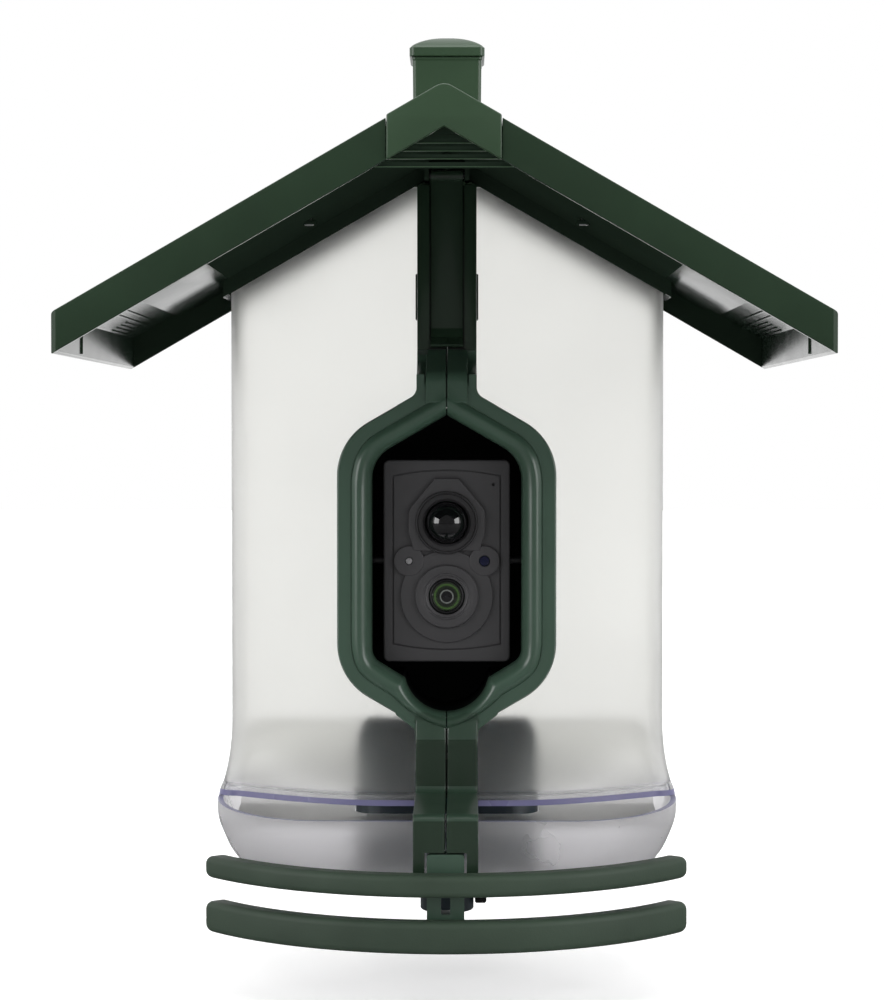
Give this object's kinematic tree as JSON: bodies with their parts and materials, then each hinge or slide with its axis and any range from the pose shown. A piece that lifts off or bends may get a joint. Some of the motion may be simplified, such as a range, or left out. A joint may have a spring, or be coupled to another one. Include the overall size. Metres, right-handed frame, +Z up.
{
  "type": "bird feeder",
  "caption": "House-shaped bird feeder: frosted seed silo under a pitched lift-off roof with a chimney, clear tray, tilting camera in a front frame, two curved perches.",
  "frame": {"origin": "centre of the mouth of the pole socket's tube, under the tray", "axes": "+X to the right seen from the front, -Y to the front, where the camera looks, +Z up"},
  "size_m": [0.26, 0.202, 0.3475],
  "materials": {
    "green_plastic": "satin moulded",
    "dark_green_plastic": "satin moulded",
    "frosted_plastic": "frosted, translucent",
    "clear_plastic": "clear, slightly lilac",
    "dark_grey_plastic": "fine matte",
    "black_rubber": "matte",
    "dark_glass": "polished",
    "steel": "plain",
    "circuit_board": "solder mask",
    "cell_wrap": "wrapped",
    "white_plastic": "plain"
  },
  "bodies": {
    "root": {"silo": "frosted_plastic", "tray": "clear_plastic", "seed_ramp": "frosted_plastic", "pole_socket": "dark_green_plastic", "pole_tube": "dark_green_plastic", "base_screw_1": "steel", "base_screw_2": "steel", "base_screw_3": "steel", "base_screw_4": "steel", "front_frame_left": "green_plastic", "front_frame_right": "green_plastic", "frame_screw_upper": "steel", "frame_screw_lower": "steel", "camera_pocket": "dark_green_plastic", "pivot_pin_left": "steel", "pivot_pin_right": "steel"},
    "roof": {"roof_wing_left": "green_plastic", "roof_wing_right": "green_plastic", "ridge_cap": "green_plastic", "gable_louvre": "green_plastic", "silo_lid": "green_plastic", "chimney": "green_plastic", "roof_screw_1": "steel", "roof_screw_2": "steel", "roof_screw_3": "steel", "roof_screw_4": "steel", "tongue_pin": "steel"},
    "chimney_cap": {"chimney_cap": "green_plastic"},
    "tongue": {"roof_tongue": "green_plastic"},
    "camera": {"camera_front_case": "dark_grey_plastic", "camera_rear_case": "dark_grey_plastic", "case_gasket": "black_rubber", "case_screw_1": "steel", "case_screw_2": "steel", "case_screw_3": "steel", "case_screw_4": "steel", "pir_ring": "black_rubber", "pir_dome": "dark_glass", "pir_sensor": "steel", "lens_ring": "dark_grey_plastic", "lens_barrel": "dark_grey_plastic", "lens_glass": "dark_glass", "light_sensor_window": "white_plastic", "status_window": "dark_glass", "main_board": "circuit_board", "battery_cell_left": "cell_wrap", "battery_cell_right": "cell_wrap", "usb_port": "steel"},
    "power_button": {"power_button": "black_rubber"},
    "port_cover": {"port_cover": "black_rubber"},
    "perch": {"perch_post": "green_plastic", "perch_upper": "green_plastic", "perch_lower": "green_plastic", "perch_screw_upper": "steel", "perch_screw_lower": "steel"},
    "clamp_screw": {"clamp_screw": "black_rubber"}
  },
  "joints": [
    {"name": "roof_lift", "type": "slide", "parent": "root", "child": "roof", "axis": [0, 0, 1], "range_m": [0, 0.08]},
    {"name": "chimney_cap_lift", "type": "slide", "parent": "roof", "child": "chimney_cap", "axis": [0, 0, 1], "range_m": [0, 0.012]},
    {"name": "tongue_swing", "type": "hinge", "parent": "roof", "child": "tongue", "pos_m": [0, -0.014, 0.2906], "axis": [-1, 0, 0], "range_deg": [0, 15]},
    {"name": "camera_tilt", "type": "hinge", "parent": "root", "child": "camera", "pos_m": [0, -0.0155, 0.14], "axis": [1, 0, 0], "range_deg": [-8, 8]},
    {"name": "power_button_press", "type": "slide", "parent": "camera", "child": "power_button", "axis": [0, 0, 1], "range_m": [0, 0.0006], "stiffness_N_per_m": 500},
    {"name": "port_cover_hinge", "type": "hinge", "parent": "camera", "child": "port_cover", "pos_m": [0, 0.0036, 0.0998], "axis": [1, 0, 0], "range_deg": [0, 75]},
    {"name": "perch_slide", "type": "slide", "parent": "root", "child": "perch", "axis": [0, 0, -1], "range_m": [0, 0.02]},
    {"name": "clamp_turn", "type": "hinge", "parent": "root", "child": "clamp_screw", "pos_m": [0.01, 0, 0.0062], "axis": [1, 0, 0], "range_deg": [-180, 180]}
  ]
}
